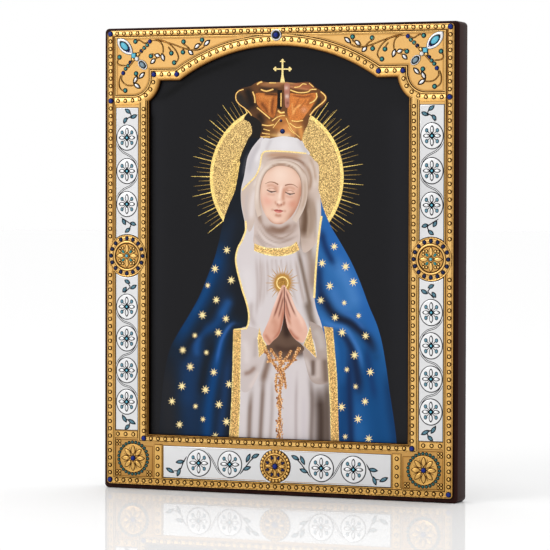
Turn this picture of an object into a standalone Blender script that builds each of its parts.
"""Icon panel: a picture on a wooden board, in one stamped gilt cover with silver inlays and set stones.

The panel stands on its lower edge and its front faces -Y. X runs to the viewer's right, and the origin
is the middle of the board's underside. Plan points are (x, z), with z counted from PLAN_LIFT above the
underside. A height is counted outward from the board's front face.
"""

import math

import bmesh
import bpy
from mathutils import Vector
from mathutils.geometry import delaunay_2d_cdt

MM = 0.001
GAP = 0.3 * MM  # clearance between pieces that touch
PLAN_MERGE = 0.0001  # plan points closer than this, in millimetres, count as one

# Board
BOARD_WIDTH = 204.4 * MM
BOARD_TALL = 251.5 * MM
BOARD_DEPTH = 14.0 * MM
BOARD_CORNER = 2.4 * MM
BOARD_EDGE = 1.0 * MM
PICTURE_THICK = 0.8 * MM
PICTURE_SUNK = 1.1 * MM  # picture front below the board's front
PICTURE_LAP = 1.6 * MM  # how far the picture runs under the cover
FIELD_LAP = 2.0 * MM  # the board's sunk field beyond the window

# Gilt cover, heights
COVER_BACK = GAP
COVER_EDGE = 0.6 * MM
COVER_GROUND = 1.7 * MM
WINDOW_EDGE = 0.7 * MM
WINDOW_STEP = 1.3 * MM
TRAY_FLOOR = 0.7 * MM
CORNER_FLOOR = 1.3 * MM
BEAD_TOP = 2.4 * MM
LIP_BACK = GAP - PICTURE_SUNK

# Gilt cover, plan
PLAN_LIFT = 1.5 * MM  # the plan's zero above the board's underside
COVER_HALF = 100.1 * MM
COVER_LOW = 0.9 * MM
COVER_HIGH = 248.7 * MM
COVER_CORNER = 2.0 * MM
EDGE_ROLL = 0.5 * MM
WALL_RUN = 0.2 * MM  # plan width of the sloping walls of sunk fields
LIP_WIDE = 1.4 * MM
LIP_STEP = 0.2 * MM  # plan width of the step behind the lip
BAND = 6.6 * MM  # width of the beaded band round the window
BAND_STEP = 1.3 * MM  # from the window to the foot of that band
BAND_RISE = 1.8 * MM  # from the window to its raised front

# Window, with its stepped arch
WINDOW_HALF = 74.7 * MM
WINDOW_LOW = 28.9 * MM
LOW_SHARE = 0.7  # the mouldings below the window are narrower by this
SHOULDER_CENTRE = (84.6 * MM, 223.4 * MM)
SHOULDER_RADIUS = 16.6 * MM
SHOULDER_FLAT = 220.9 * MM
ARCH_CENTRE = 138.2 * MM
ARCH_RADIUS = 100.3 * MM
BAND_END = 210.4 * MM  # height of the bead row where the band runs out to the border

# Bead rows
BEAD_RADIUS = 0.95 * MM
BEAD_SIDES = 4
OUTER_ROW = 98.0 * MM
OUTER_LOW = 3.2 * MM
OUTER_HIGH = 247.1 * MM
INNER_ROW = 78.0 * MM
INNER_LOW = 26.5 * MM
INNER_TOP = 205.8 * MM
ARCH_ROW = 104.0 * MM
SHOULDER_ROW = 12.8 * MM
ARCH_BEADS = 13
ARCH_PITCH = 4.4 * MM

# Gaps between beads along the stretches of the right half
TOP_GAPS = 24
CORNER_GAPS = 9  # corner stone to the arch's end
UPPER_GAPS = 18  # from there to the medallion
LOWER_GAPS = 28
BOTTOM_GAPS = 24
INNER_UPPER_GAPS = 18
INNER_LOWER_GAPS = 22
INNER_BOTTOM_GAPS = 18
SHOULDER_GAPS = 3
RUN_GAPS = 3
BAR_ABOVE_SQUARE = ((93.2 * MM, 28.4 * MM), (83.9 * MM, 28.4 * MM))
BAR_BESIDE_SQUARE = ((69.2 * MM, 20.9 * MM), (69.2 * MM, 7.1 * MM))

# Set stones of the right half
OUTER_TOP_STONE = (OUTER_ROW, 246.9 * MM)
OUTER_LOW_STONE = (OUTER_ROW, OUTER_LOW)
ARCH_END_STONE = (97.7 * MM, BAND_END)
SHOULDER_OUTER_STONE = (71.8 * MM, 224.5 * MM)
SHOULDER_INNER_STONE = (58.2 * MM, 224.5 * MM)
INNER_LOW_STONE = (77.6 * MM, INNER_LOW)
LINE_TOP_STONE = (74.5 * MM, 242.4 * MM)
LINE_LOW_STONE = (90.5 * MM, 225.5 * MM)
STONE_RADIUS = 1.4 * MM
SMALL_STONE_RADIUS = 1.1 * MM
TOP_STONE_RADIUS = 1.6 * MM
STONE_RAISE = 0.9 * MM
STONE_SIDES = 8
STONE_CROWN = (0.68, 0.75)  # shares of a stone's radius and height at its shoulder

# Silver inlays
TRAY_INNER = 80.8 * MM
TRAY_OUTER = 95.1 * MM
TRAY_LOW = 30.2 * MM
TRAY_HIGH = 207.1 * MM
BOTTOM_TRAY_HALF = 66.4 * MM
BOTTOM_TRAY_LOW = 5.1 * MM
BOTTOM_TRAY_HIGH = 23.4 * MM
TRAY_ROOM = 0.25 * MM  # cover left between a tray and the medallion beside it
SILVER_THICK = 0.5 * MM
ROUNDEL_RAISE = 0.2 * MM
ROUNDEL_RIM = 0.4 * MM
ROUNDEL_PETALS = (1.3 * MM, 5.2 * MM, 1.8 * MM)  # inner end, outer end, width
ROUNDEL_PETAL_RAISE = 0.3 * MM
ROUNDEL_HALF = (5.9 * MM, 6.9 * MM)  # half width and half height
ROUNDEL_SIDES = 10
SIDE_ROUNDEL_X = 88.0 * MM
UPPER_ROUNDELS = (190.3 * MM, 172.1 * MM, 154.1 * MM)
LOWER_ROUNDELS = (98.1 * MM, 80.7 * MM, 63.3 * MM, 46.1 * MM)
BOTTOM_ROUNDELS = (44.8 * MM, 26.5 * MM)
BOTTOM_ROUNDEL_Z = 14.2 * MM

# Medallions and rosettes; petals as inner end, outer end and width, rings as radii
RIM_RAISE = 0.6 * MM
FLOOR_RAISE = 0.2 * MM
MEDALLION = (87.8 * MM, 125.9 * MM)
MEDALLION_RADIUS = 11.2 * MM
MEDALLION_STONES = 16
MEDALLION_STONE_ROW = 9.35 * MM
MEDALLION_STONE_RADIUS = 1.0 * MM
MEDALLION_STONE_RAISE = 0.5 * MM
MEDALLION_WALL = (7.7 * MM, 7.1 * MM)
MEDALLION_PETALS = (1.5 * MM, 6.6 * MM, 2.1 * MM)
MEDALLION_ROOM = 10.2 * MM  # the nearest bead above or below a medallion's centre
BOTTOM_ROSETTE = (0.0, 14.2 * MM)
BOTTOM_ROSETTE_RADIUS = 9.05 * MM
BOTTOM_PETALS = (1.9 * MM, 6.2 * MM, 1.8 * MM)
BOTTOM_RIM_RAISE = 0.5 * MM
BOTTOM_FLOOR_RAISE = 0.1 * MM
RIM_SLOPE = 0.4 * MM
BOTTOM_WALL = (1.3 * MM, 1.8 * MM)  # drawn in from the radius
CORNER_ROSETTE = (84.1 * MM, 15.4 * MM)
CORNER_ROSETTE_RADIUS = 7.8 * MM
CORNER_PETALS = (1.9 * MM, 6.8 * MM, 2.0 * MM)
SQUARE_INNER = 72.0 * MM
SQUARE_OUTER = 95.2 * MM
SQUARE_LOW = 4.9 * MM
SQUARE_HIGH = 25.9 * MM
SQUARE_CHAMFER = ((80.9 * MM, 25.6 * MM), (76.9 * MM, 22.8 * MM))

# Top corner fields and their jewels
FIELD_OUTER = 94.4 * MM
FIELD_HIGH = 244.4 * MM
FIELD_LOW = 213.5 * MM
FIELD_TIP = 20.0 * MM  # where the narrowing field ends under the arch
JEWEL_CENTRE = (89.3 * MM, 239.9 * MM)
JEWEL_TURN = math.radians(43.5)
WING_LONG = 5.5 * MM
WING_WIDE = 2.8 * MM
WING_POINT = 1.4  # power that points the wing's ends
WING_RIM = (1.0, 0.92, 0.8)  # shares of the outline: foot, crest and seat
WING_STONE = (3.0 * MM, 1.7 * MM, 0.7 * MM)  # half length, half width and height
WING_STONE_ALONG = 0.5 * MM
OVAL_LONG = 3.2 * MM
OVAL_WIDE = 2.1 * MM
OVAL_RIM = (1.0, 0.9, 0.7)
OVAL_STONE = (1.8 * MM, 1.1 * MM, 0.6 * MM)
SQUARE_STONE = (1.85 * MM, 1.85 * MM, 0.8 * MM)
PEARL_STONE = (1.1 * MM, 1.1 * MM, 1.1 * MM)
OVAL_ALONG = 14.6 * MM  # distances from the wing's centre, down the jewel's axis
SQUARE_ALONG = 7.25 * MM
PEARL_ALONG = 9.85 * MM
JEWEL_THICK = 0.5 * MM
SEAT_DROP = 0.2 * MM
TOP_BEZEL = (0.0, 244.5 * MM)
BEZEL_RINGS = (3.1 * MM, 2.8 * MM, 2.0 * MM)
BEZEL_RISE = 0.6 * MM
BEZEL_SEAT = 0.3 * MM
STEM_WIDE = 0.8 * MM
STEM_RAISE = 0.4 * MM
LINE_GAPS = 9
LINE_JEWEL = (3, 5)  # the beads of the line that the jewel's square stone stands in for
LINE_BEAD_RADIUS = 0.8 * MM
LINE_BEAD_RAISE = 0.6 * MM

# Scroll stems of the right corner field, in millimetres
STEMS = (
    ((73.0, 243.0), (64.4, 242.2), (58.3, 240.7), (54.5, 238.9), (49.2, 237.4), (44.7, 237.7),
     (42.1, 239.4)),
    ((70.3, 241.8), (65.9, 240.8), (61.3, 239.1), (58.6, 236.2), (57.6, 233.2), (58.9, 231.3)),
    ((92.0, 223.4), (92.7, 221.3), (92.5, 218.4), (91.2, 216.8), (89.7, 216.2)),
    ((90.2, 223.4), (89.6, 221.5), (88.3, 219.9), (86.0, 219.0), (83.8, 219.1)),
)

WOOD = ((0.075, 0.035, 0.026, 1.0), 0.4, 0.0)
PRINT = ((0.02, 0.03, 0.08, 1.0), 0.45, 0.0)
GILT = ((0.83, 0.55, 0.2, 1.0), 0.3, 1.0)
SILVER = ((0.8, 0.8, 0.82, 1.0), 0.25, 1.0)
BLUE = ((0.02, 0.06, 0.45, 1.0), 0.15, 0.0)
TURQUOISE = ((0.2, 0.62, 0.72, 1.0), 0.2, 0.0)
PEARL = ((0.85, 0.83, 0.8, 1.0), 0.25, 0.0)
GREY = ((0.25, 0.32, 0.38, 1.0), 0.2, 0.0)


# Plan outlines


def arc(centre, radius, start, end, steps):
    """Points of a circular arc, in degrees from start to end, both ends included."""
    points = []
    for step in range(steps + 1):
        angle = math.radians(start + (end - start) * step / steps)
        points.append((centre[0] + radius * math.cos(angle), centre[1] + radius * math.sin(angle)))
    return points


def circle(centre, radius, sides, turn=0.0):
    return arc(centre, radius, turn, turn + 360.0 * (sides - 1) / sides, sides - 1)


def oval(centre, long, wide, turn, sides, power=1.0):
    """An oval whose ends come to a point as power rises above 1; turn is its long axis, in radians."""
    points = []
    for side in range(sides):
        angle = math.tau * side / sides
        along = long * math.cos(angle)
        across = wide * math.copysign(abs(math.sin(angle)) ** power, math.sin(angle))
        points.append((centre[0] + along * math.cos(turn) - across * math.sin(turn),
                       centre[1] + along * math.sin(turn) + across * math.cos(turn)))
    return points


def rounded_rectangle(half, low, high, radius, steps):
    corners = ((half - radius, low + radius, -90), (half - radius, high - radius, 0),
               (radius - half, high - radius, 90), (radius - half, low + radius, 180))
    points = []
    for x, z, start in corners:
        points += arc((x, z), radius, start, start + 90, steps)
    return points


def mirrored(points):
    """The same outline on the other side of the panel, still running the same way round."""
    return [(-x, z) for x, z in reversed(points)]


def inset(points, distance):
    """A closed outline that runs anticlockwise, drawn in by a distance."""
    drawn = []
    for before, point, after in zip(points[-1:] + points[:-1], points, points[1:] + points[:1]):
        into = Vector((point[0] - before[0], point[1] - before[1])).normalized()
        out = Vector((after[0] - point[0], after[1] - point[1])).normalized()
        normal = Vector((-into.y - out.y, into.x + out.x)).normalized()
        stretch = distance / max(0.4, normal.dot(Vector((-into.y, into.x))))
        drawn.append((point[0] + normal.x * stretch, point[1] + normal.y * stretch))
    return drawn


def shoulder_and_arch(grow):
    """The right half of the stepped arch, from the window's side up to its top, grown outward."""
    x, z = SHOULDER_CENTRE
    radius = SHOULDER_RADIUS - grow
    start = 180 + math.degrees(math.acos((x - WINDOW_HALF - grow) / radius))
    drop = z - SHOULDER_FLAT - grow
    end = 180 + math.degrees(math.asin(max(0.0, drop) / radius))
    points = arc(SHOULDER_CENTRE, radius, start, end, 4)
    if drop < 0:
        points.append((x - radius, SHOULDER_FLAT + grow))
    reach = ARCH_RADIUS + grow
    spring = math.degrees(math.asin((SHOULDER_FLAT + grow - ARCH_CENTRE) / reach))
    return points + arc((0.0, ARCH_CENTRE), reach, spring, 90, 7)


def window(grow):
    """The window's outline, grown outward by a distance, anticlockwise."""
    right = [(WINDOW_HALF + grow, WINDOW_LOW - LOW_SHARE * grow)] + shoulder_and_arch(grow)
    return right + mirrored(right)[1:]


def corner_field():
    """The sunk field of the top right corner, anticlockwise."""
    x, z = SHOULDER_CENTRE
    radius = z - FIELD_LOW
    reach = ARCH_RADIUS + BAND
    flat = SHOULDER_FLAT + BAND
    spring = math.degrees(math.asin((flat - ARCH_CENTRE) / reach))
    tip = math.degrees(math.acos(FIELD_TIP / reach))
    return ([(FIELD_OUTER, FIELD_HIGH), (FIELD_TIP, FIELD_HIGH)]
            + arc((0.0, ARCH_CENTRE), reach, tip, spring, 6)
            + [(x - radius, flat)]
            + arc((x, z), radius, 180, 270, 5)
            + [(FIELD_OUTER, FIELD_LOW)])


def side_tray(upper):
    """One of the two trays of the right border, above or below its medallion, anticlockwise."""
    x = MEDALLION[0]
    radius = MEDALLION_RADIUS + TRAY_ROOM
    inner = math.degrees(math.acos((TRAY_INNER - x) / radius))
    outer = math.degrees(math.acos((TRAY_OUTER - x) / radius))
    if upper:
        return arc(MEDALLION, radius, inner, outer, 6) + [(TRAY_OUTER, TRAY_HIGH), (TRAY_INNER, TRAY_HIGH)]
    return [(TRAY_INNER, TRAY_LOW), (TRAY_OUTER, TRAY_LOW)] + arc(MEDALLION, radius, -outer, -inner, 6)


def bottom_tray():
    """The tray to the right of the bottom rosette, anticlockwise."""
    z = BOTTOM_ROSETTE[1]
    radius = BOTTOM_ROSETTE_RADIUS + TRAY_ROOM
    low = math.degrees(math.asin((BOTTOM_TRAY_LOW - z) / radius))
    high = math.degrees(math.asin((BOTTOM_TRAY_HIGH - z) / radius))
    return [(BOTTOM_TRAY_HALF, BOTTOM_TRAY_LOW), (BOTTOM_TRAY_HALF, BOTTOM_TRAY_HIGH)] + arc(
        BOTTOM_ROSETTE, radius, high, low, 8)


def corner_square():
    """The sunk square of the bottom right corner, cut by the window's border, anticlockwise."""
    chamfer_top, chamfer_low = SQUARE_CHAMFER
    return [(SQUARE_INNER, SQUARE_LOW), (SQUARE_OUTER, SQUARE_LOW), (SQUARE_OUTER, SQUARE_HIGH),
            (TRAY_INNER, SQUARE_HIGH), chamfer_top, chamfer_low, (SQUARE_INNER, chamfer_low[1])]


# Solids


class Relief:
    """Raised work on one face of a plate: spots with a height, and the lines that join them."""

    def __init__(self):
        self.spots = []
        self.lines = []

    def loop(self, points, height):
        first = len(self.spots)
        self.spots += [(x, z, height) for x, z in points]
        last = len(self.spots) - 1
        self.lines += [(spot, spot + 1) for spot in range(first, last)] + [(last, first)]

    def pool(self, outline, rim, floor):
        """A sunk field with sloping walls."""
        self.loop(outline, rim)
        self.loop(inset(outline, WALL_RUN), floor)

    def dome(self, centre, radius, base, top, sides=BEAD_SIDES, turn=0.0):
        self.loop(circle(centre, radius, sides, turn), base)
        self.spots.append((centre[0], centre[1], top))

    def rings(self, centre, steps):
        """Circles about one centre, each given as radius, height and number of sides."""
        for radius, height, sides in steps:
            self.loop(circle(centre, radius, sides), height)

    def petals(self, centre, count, inner, outer, wide, base, top):
        for petal in range(count):
            turn = math.tau * petal / count
            middle = (inner + outer) / 2
            place = (centre[0] + middle * math.cos(turn), centre[1] + middle * math.sin(turn))
            self.loop(oval(place, (outer - inner) / 2, wide / 2, turn, 4), base)
            self.spots.append((place[0], place[1], top))

    def stem(self, points, wide, base, top):
        """A ridge along a line of points, coming down to the base at both ends."""
        left, right = [], []
        for before, point, after in zip(points[:-2], points[1:-1], points[2:]):
            run = Vector((after[0] - before[0], after[1] - before[1])).normalized() * (wide / 2)
            left.append((point[0] - run.y, point[1] + run.x))
            right.append((point[0] + run.y, point[1] - run.x))
        self.loop([points[0]] + right + [points[-1]] + left[::-1], base)
        first = len(self.spots)
        self.spots += [(x, z, top) for x, z in points[1:-1]]
        self.lines += [(spot, spot + 1) for spot in range(first, len(self.spots) - 1)]


def inside(outline, x, z):
    odd = False
    for (x1, z1), (x2, z2) in zip(outline, outline[1:] + outline[:1]):
        if (z1 > z) != (z2 > z) and x < x1 + (x2 - x1) * (z - z1) / (z2 - z1):
            odd = not odd
    return odd


class Body:
    """The corners and faces of one closed solid, kept as plan points and heights."""

    def __init__(self):
        self.corners = []
        self.faces = []

    def ring(self, outline, height):
        first = len(self.corners)
        self.corners += [(x, z, height) for x, z in outline]
        return list(range(first, len(self.corners)))

    def bridge(self, one, other):
        """Walls between two rings with the same number of corners."""
        for here, there in zip(range(len(one)), [*range(1, len(one)), 0]):
            self.faces.append((one[here], one[there], other[there], other[here]))

    def fan(self, ring, centre, height):
        middle = len(self.corners)
        self.corners.append((centre[0], centre[1], height))
        for here, there in zip(ring, ring[1:] + ring[:1]):
            self.faces.append((here, there, middle))

    def face(self, rims, relief=None):
        """Fills the plan between the outer rim and the rims of its holes, through the spots of a relief."""
        relief = relief or Relief()
        first = len(self.corners)
        self.corners += relief.spots
        used = [corner for rim in rims for corner in rim] + list(range(first, len(self.corners)))
        place = {corner: order for order, corner in enumerate(used)}
        lines = [(place[one], place[other]) for rim in rims for one, other in zip(rim, rim[1:] + rim[:1])]
        lines += [(place[first + one], place[first + other]) for one, other in relief.lines]
        plan = [Vector((self.corners[corner][0] / MM, self.corners[corner][1] / MM)) for corner in used]
        points, _, triangles, sources, _, _ = delaunay_2d_cdt(plan, lines, [], 0, PLAN_MERGE, True)
        if not all(sources):
            crossing = [point for point, source in zip(points, sources) if not source]
            raise ValueError(f"relief lines cross at {crossing[:6]}")
        outlines = [[tuple(plan[place[corner]]) for corner in rim] for rim in rims]
        for triangle in triangles:
            x = sum(points[corner].x for corner in triangle) / 3
            z = sum(points[corner].y for corner in triangle) / 3
            if inside(outlines[0], x, z) and not any(inside(hole, x, z) for hole in outlines[1:]):
                self.faces.append(tuple(used[sources[corner][0]] for corner in triangle))

    def finish(self, name, finish, smooth=False):
        front = -BOARD_DEPTH / 2
        mesh = bpy.data.meshes.new(name)
        mesh.from_pydata([(x, front - height, z + PLAN_LIFT) for x, z, height in self.corners], [], self.faces)
        shape = bmesh.new()
        shape.from_mesh(mesh)
        bmesh.ops.recalc_face_normals(shape, faces=shape.faces)
        shape.to_mesh(mesh)
        shape.free()
        if smooth:
            mesh.shade_smooth()
            mesh.set_sharp_from_angle(angle=math.radians(35))
        mesh.materials.append(new_material(name, finish))
        made = bpy.data.objects.new(name, mesh)
        bpy.context.scene.collection.objects.link(made)
        return made


def new_material(name, finish):
    colour, roughness, metallic = finish
    material = bpy.data.materials.new(name)
    material.use_nodes = True
    shader = material.node_tree.nodes["Principled BSDF"]
    shader.inputs["Base Color"].default_value = colour
    shader.inputs["Roughness"].default_value = roughness
    shader.inputs["Metallic"].default_value = metallic
    return material


def make_board():
    """The board: rounded all round, with the picture's sunk field in its front."""
    body = Body()
    eased = 0.3 * BOARD_EDGE
    steps = ((BOARD_EDGE, 0.0), (eased, eased), (0.0, BOARD_EDGE))
    levels = [(drawn, -depth) for drawn, depth in steps]
    levels += [(drawn, depth - BOARD_DEPTH) for drawn, depth in reversed(steps)]
    rings = []
    for drawn, height in levels:
        outline = rounded_rectangle(BOARD_WIDTH / 2 - drawn, drawn - PLAN_LIFT,
                                    BOARD_TALL - PLAN_LIFT - drawn, BOARD_CORNER - drawn, 4)
        rings.append(body.ring(outline, height))
    for one, other in zip(rings[:-1], rings[1:]):
        body.bridge(one, other)
    floor_height = -(PICTURE_SUNK + PICTURE_THICK + GAP)
    mouth = body.ring(window(FIELD_LAP), 0.0)
    floor = body.ring(window(FIELD_LAP), floor_height)
    body.bridge(mouth, floor)
    body.face([rings[0], mouth])
    body.face([floor])
    body.face([rings[-1]])
    body.finish("wooden_board", WOOD, smooth=True)


def make_picture():
    body = Body()
    front = body.ring(window(PICTURE_LAP), -PICTURE_SUNK)
    back = body.ring(window(PICTURE_LAP), -PICTURE_SUNK - PICTURE_THICK)
    body.bridge(front, back)
    body.face([front])
    body.face([back])
    body.finish("picture_panel", PRINT)


def row(start, end, gaps, ends=(False, False)):
    """Bead centres at even gaps between two points, with or without the ends themselves."""
    first = 0 if ends[0] else 1
    last = gaps if ends[1] else gaps - 1
    points = []
    for step in range(first, last + 1):
        share = step / gaps
        points.append((start[0] + (end[0] - start[0]) * share, start[1] + (end[1] - start[1]) * share))
    return points


def stepped_arch_beads():
    """Bead centres of the right half of the band: arch, shoulder, quarter turn and the run to the border."""
    points = []
    for bead in range(ARCH_BEADS):
        angle = (1 + bead) * ARCH_PITCH / ARCH_ROW
        points.append((ARCH_ROW * math.sin(angle), ARCH_CENTRE + ARCH_ROW * math.cos(angle)))
    points += row(SHOULDER_INNER_STONE, SHOULDER_OUTER_STONE, SHOULDER_GAPS)
    points += arc(SHOULDER_CENTRE, SHOULDER_ROW, 194, 270, 4)
    points += row((SHOULDER_CENTRE[0], BAND_END), ARCH_END_STONE, RUN_GAPS)
    return points


def right_beads():
    """Bead centres of the right half of the cover."""
    above = MEDALLION[1] + MEDALLION_ROOM
    below = MEDALLION[1] - MEDALLION_ROOM
    points = stepped_arch_beads()
    points += row((OUTER_ROW, OUTER_HIGH), (0.0, OUTER_HIGH), TOP_GAPS)
    points += row(OUTER_TOP_STONE, ARCH_END_STONE, CORNER_GAPS)
    points += row(ARCH_END_STONE, (OUTER_ROW, above), UPPER_GAPS, (False, True))
    points += row((OUTER_ROW, below), OUTER_LOW_STONE, LOWER_GAPS, (True, False))
    points += row(OUTER_LOW_STONE, (0.0, OUTER_LOW), BOTTOM_GAPS)
    points += row((INNER_ROW, INNER_TOP), (INNER_ROW, above), INNER_UPPER_GAPS, (True, True))
    points += row((INNER_ROW, below), INNER_LOW_STONE, INNER_LOWER_GAPS, (True, False))
    points += row(INNER_LOW_STONE, (0.0, INNER_LOW), INNER_BOTTOM_GAPS)
    points += row(*BAR_ABOVE_SQUARE, 2, (True, True))
    points += row(*BAR_BESIDE_SQUARE, 3, (True, True))
    return points


def cover_beads():
    """All the gold beads of the cover, with the middle ones of the two bottom rows once."""
    right = right_beads()
    return right + mirrored(right) + [(0.0, OUTER_LOW), (0.0, INNER_LOW)]


def line_beads():
    """The small beads between the two blue stones of the right corner jewel, clear of the jewel itself."""
    beads = row(LINE_TOP_STONE, LINE_LOW_STONE, LINE_GAPS)
    first, last = LINE_JEWEL
    return beads[:first] + beads[last:]


def both_sides(outline):
    return outline, mirrored(outline)


def make_cover():
    """The gilt cover: bead rows, sunk fields, medallions, rosettes and scrolls on one stamped sheet."""
    body = Body()
    edge = body.ring(rounded_rectangle(COVER_HALF, COVER_LOW, COVER_HIGH, COVER_CORNER, 3), COVER_EDGE)
    edge_back = body.ring(rounded_rectangle(COVER_HALF, COVER_LOW, COVER_HIGH, COVER_CORNER, 3), COVER_BACK)
    mouth = body.ring(window(0.0), WINDOW_EDGE)
    mouth_back = body.ring(window(0.0), LIP_BACK)
    body.bridge(edge, edge_back)
    body.bridge(mouth, mouth_back)

    back = Relief()
    back.loop(window(LIP_WIDE), LIP_BACK)
    back.loop(window(LIP_WIDE + LIP_STEP), COVER_BACK)
    body.face([edge_back, mouth_back], back)

    front = Relief()
    front.loop(rounded_rectangle(COVER_HALF - EDGE_ROLL, COVER_LOW + EDGE_ROLL, COVER_HIGH - EDGE_ROLL,
                                 COVER_CORNER - EDGE_ROLL, 2), COVER_GROUND)
    front.loop(window(BAND_STEP), WINDOW_STEP)
    front.loop(window(BAND_RISE), COVER_GROUND)
    for field in both_sides(corner_field()):
        front.pool(field, COVER_GROUND, CORNER_FLOOR)
    for square in both_sides(corner_square()):
        front.pool(square, COVER_GROUND, CORNER_FLOOR)
    for tray in (side_tray(True), side_tray(False), bottom_tray()):
        for outline in both_sides(tray):
            front.pool(outline, COVER_GROUND, TRAY_FLOOR)
    for centre in cover_beads():
        front.dome(centre, BEAD_RADIUS, COVER_GROUND, BEAD_TOP)
    for centre in line_beads() + mirrored(line_beads()):
        front.dome(centre, LINE_BEAD_RADIUS, CORNER_FLOOR, CORNER_FLOOR + LINE_BEAD_RAISE)
    for stem in STEMS:
        points = [(x * MM, z * MM) for x, z in stem]
        front.stem(points, STEM_WIDE, CORNER_FLOOR, CORNER_FLOOR + STEM_RAISE)
        front.stem(mirrored(points), STEM_WIDE, CORNER_FLOOR, CORNER_FLOOR + STEM_RAISE)
    stamp_medallions(front)
    stamp_bottom_rosette(front)
    stamp_corner_rosettes(front)
    body.face([edge, mouth], front)
    body.finish("gilt_frame", GILT)


def stamp_medallions(front):
    raised = COVER_GROUND + RIM_RAISE
    floor = COVER_GROUND + FLOOR_RAISE
    crest, foot = MEDALLION_WALL
    for centre in ((-MEDALLION[0], MEDALLION[1]), MEDALLION):
        front.rings(centre, ((MEDALLION_RADIUS, COVER_GROUND, 24),
                             (MEDALLION_RADIUS - RIM_SLOPE, raised, 24),
                             (crest, raised, 16), (foot, floor, 16)))
        for point in circle(centre, MEDALLION_STONE_ROW, MEDALLION_STONES):
            front.dome(point, MEDALLION_STONE_RADIUS, raised, raised + MEDALLION_STONE_RAISE)
        front.petals(centre, 4, *MEDALLION_PETALS, floor, raised)


def stamp_bottom_rosette(front):
    raised = COVER_GROUND + BOTTOM_RIM_RAISE
    floor = COVER_GROUND + BOTTOM_FLOOR_RAISE
    radius = BOTTOM_ROSETTE_RADIUS
    crest, foot = BOTTOM_WALL
    front.rings(BOTTOM_ROSETTE, ((radius, COVER_GROUND, 20), (radius - RIM_SLOPE, raised, 20),
                                 (radius - crest, raised, 16), (radius - foot, floor, 16)))
    front.petals(BOTTOM_ROSETTE, 8, *BOTTOM_PETALS, floor, raised)


def stamp_corner_rosettes(front):
    radius = CORNER_ROSETTE_RADIUS
    floor = CORNER_FLOOR + FLOOR_RAISE
    for centre in ((-CORNER_ROSETTE[0], CORNER_ROSETTE[1]), CORNER_ROSETTE):
        front.rings(centre, ((radius, CORNER_FLOOR, 16), (radius - RIM_SLOPE, COVER_GROUND, 16),
                             (radius - 2 * RIM_SLOPE, floor, 16)))
        front.petals(centre, 8, *CORNER_PETALS, floor, COVER_GROUND + FLOOR_RAISE)


def make_silver(name, tray, roundels):
    """A thin silver inlay that lies in its tray, with raised roundels of four petals."""
    outline = inset(tray, WALL_RUN + GAP)
    back = TRAY_FLOOR + GAP
    face = back + SILVER_THICK
    body = Body()
    front_rim = body.ring(outline, face)
    back_rim = body.ring(outline, back)
    body.bridge(front_rim, back_rim)
    body.face([back_rim])
    relief = Relief()
    for centre in roundels:
        raised = face + ROUNDEL_RAISE
        wide, tall = ROUNDEL_HALF
        relief.loop(oval(centre, wide, tall, 0.0, ROUNDEL_SIDES), face)
        relief.loop(oval(centre, wide - ROUNDEL_RIM, tall - ROUNDEL_RIM, 0.0, ROUNDEL_SIDES), raised)
        relief.petals(centre, 4, *ROUNDEL_PETALS, raised, raised + ROUNDEL_PETAL_RAISE)
        relief.dome(centre, BEAD_RADIUS, raised, raised + ROUNDEL_PETAL_RAISE)
    body.face([front_rim], relief)
    body.finish(name, SILVER)


def make_silvers():
    upper = [(SIDE_ROUNDEL_X, z) for z in UPPER_ROUNDELS]
    lower = [(SIDE_ROUNDEL_X, z) for z in LOWER_ROUNDELS]
    bottom = [(x, BOTTOM_ROUNDEL_Z) for x in BOTTOM_ROUNDELS]
    make_silver("silver_strip_right_upper", side_tray(True), upper)
    make_silver("silver_strip_left_upper", mirrored(side_tray(True)), mirrored(upper))
    make_silver("silver_strip_right_lower", side_tray(False), lower)
    make_silver("silver_strip_left_lower", mirrored(side_tray(False)), mirrored(lower))
    make_silver("silver_strip_bottom_right", bottom_tray(), bottom)
    make_silver("silver_strip_bottom_left", mirrored(bottom_tray()), mirrored(bottom))


def make_setting(name, centre, outlines, heights):
    """A silver setting: a base outline, its rim, and the seat inside the rim."""
    body = Body()
    rings = [body.ring(outline, height) for outline, height in zip(outlines, heights)]
    for one, other in zip(rings[:-1], rings[1:]):
        body.bridge(one, other)
    body.face([rings[0]])
    body.fan(rings[-1], centre, heights[-1])
    body.finish(name, SILVER)


def make_stone(name, centre, base, finish, long, wide, raise_by=STONE_RAISE, turn=0.0, sides=STONE_SIDES):
    """A domed stone with a flat underside."""
    body = Body()
    share, rise = STONE_CROWN
    foot = body.ring(oval(centre, long, wide, turn, sides), base)
    shoulder = body.ring(oval(centre, share * long, share * wide, turn, sides), base + rise * raise_by)
    body.bridge(foot, shoulder)
    body.face([foot])
    body.fan(shoulder, centre, base + raise_by)
    body.finish(name, finish, smooth=True)


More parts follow.
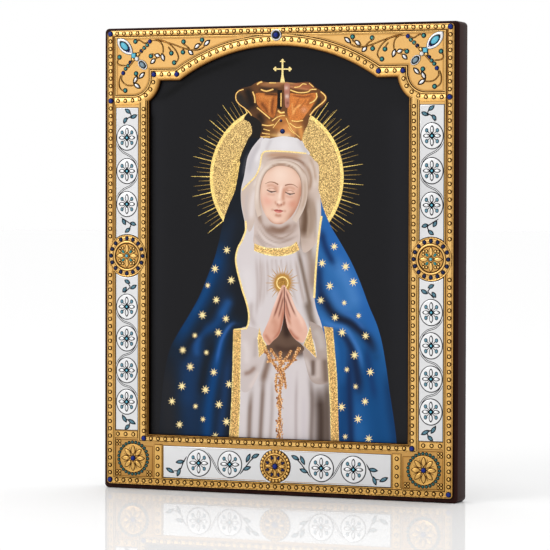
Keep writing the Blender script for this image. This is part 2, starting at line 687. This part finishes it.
def make_set_stones():
    """The blue stones of the bead rows and rosettes, and the turquoise ones of the medallions."""
    on_ground = COVER_GROUND + GAP
    paired = {
        "stone_corner_top": (OUTER_TOP_STONE, on_ground, BLUE),
        "stone_corner_bottom": (OUTER_LOW_STONE, on_ground, BLUE),
        "stone_arch_end": (ARCH_END_STONE, on_ground, BLUE),
        "stone_shoulder_outer": (SHOULDER_OUTER_STONE, on_ground, BLUE),
        "stone_shoulder_inner": (SHOULDER_INNER_STONE, on_ground, BLUE),
        "stone_window_corner": (INNER_LOW_STONE, on_ground, BLUE),
        "stone_corner_rosette": (CORNER_ROSETTE, CORNER_FLOOR + FLOOR_RAISE + GAP, BLUE),
        "stone_medallion": (MEDALLION, COVER_GROUND + FLOOR_RAISE + GAP, TURQUOISE),
        "stone_bead_line_top": (LINE_TOP_STONE, CORNER_FLOOR + GAP, BLUE),
        "stone_bead_line_bottom": (LINE_LOW_STONE, CORNER_FLOOR + GAP, BLUE),
    }
    small = ("stone_medallion", "stone_bead_line_top", "stone_bead_line_bottom")
    for name, (place, base, finish) in paired.items():
        radius = SMALL_STONE_RADIUS if name in small else STONE_RADIUS
        for word, side in (("right", 1), ("left", -1)):
            make_stone(f"{name}_{word}", (side * place[0], place[1]), base, finish, radius, radius)
    on_floor = COVER_GROUND + BOTTOM_FLOOR_RAISE + GAP
    make_stone("stone_bottom_rosette", BOTTOM_ROSETTE, on_floor, BLUE, STONE_RADIUS, STONE_RADIUS)


def make_top_bezel():
    base = COVER_GROUND + GAP
    heights = (base, base + BEZEL_RISE, base + BEZEL_SEAT)
    make_setting("top_bezel", TOP_BEZEL, [circle(TOP_BEZEL, radius, 12) for radius in BEZEL_RINGS], heights)
    make_stone("stone_top", TOP_BEZEL, base + BEZEL_SEAT + GAP, BLUE, TOP_STONE_RADIUS, TOP_STONE_RADIUS)


def make_corner_jewel(word, side):
    """Wing setting, oval setting and stones of one top corner, strung down a slanting axis."""
    turn = JEWEL_TURN if side > 0 else math.pi - JEWEL_TURN

    def along(distance):
        return (side * (JEWEL_CENTRE[0] - distance * math.cos(JEWEL_TURN)),
                JEWEL_CENTRE[1] - distance * math.sin(JEWEL_TURN))

    base = CORNER_FLOOR + GAP
    seat = base + JEWEL_THICK - SEAT_DROP
    heights = (base, base + JEWEL_THICK, seat)
    wing = [oval(along(0.0), WING_LONG * share, WING_WIDE * share, turn, 16, WING_POINT)
            for share in WING_RIM]
    make_setting(f"jewel_wing_{word}", along(0.0), wing, heights)
    ring = [oval(along(OVAL_ALONG), OVAL_LONG * share, OVAL_WIDE * share, turn, 12) for share in OVAL_RIM]
    make_setting(f"jewel_oval_{word}", along(OVAL_ALONG), ring, heights)
    make_stone(f"stone_wing_{word}", along(WING_STONE_ALONG), seat + GAP, TURQUOISE, *WING_STONE, turn)
    make_stone(f"stone_oval_{word}", along(OVAL_ALONG), seat + GAP, GREY, *OVAL_STONE, turn)
    make_stone(f"stone_square_{word}", along(SQUARE_ALONG), base, TURQUOISE, *SQUARE_STONE,
               turn + math.pi / 4, 4)
    make_stone(f"pearl_{word}", along(PEARL_ALONG), base, PEARL, *PEARL_STONE, turn)


def main():
    for old in list(bpy.data.objects):
        bpy.data.objects.remove(old, do_unlink=True)
    make_board()
    make_picture()
    make_cover()
    make_silvers()
    make_set_stones()
    make_top_bezel()
    make_corner_jewel("right", 1)
    make_corner_jewel("left", -1)


main()
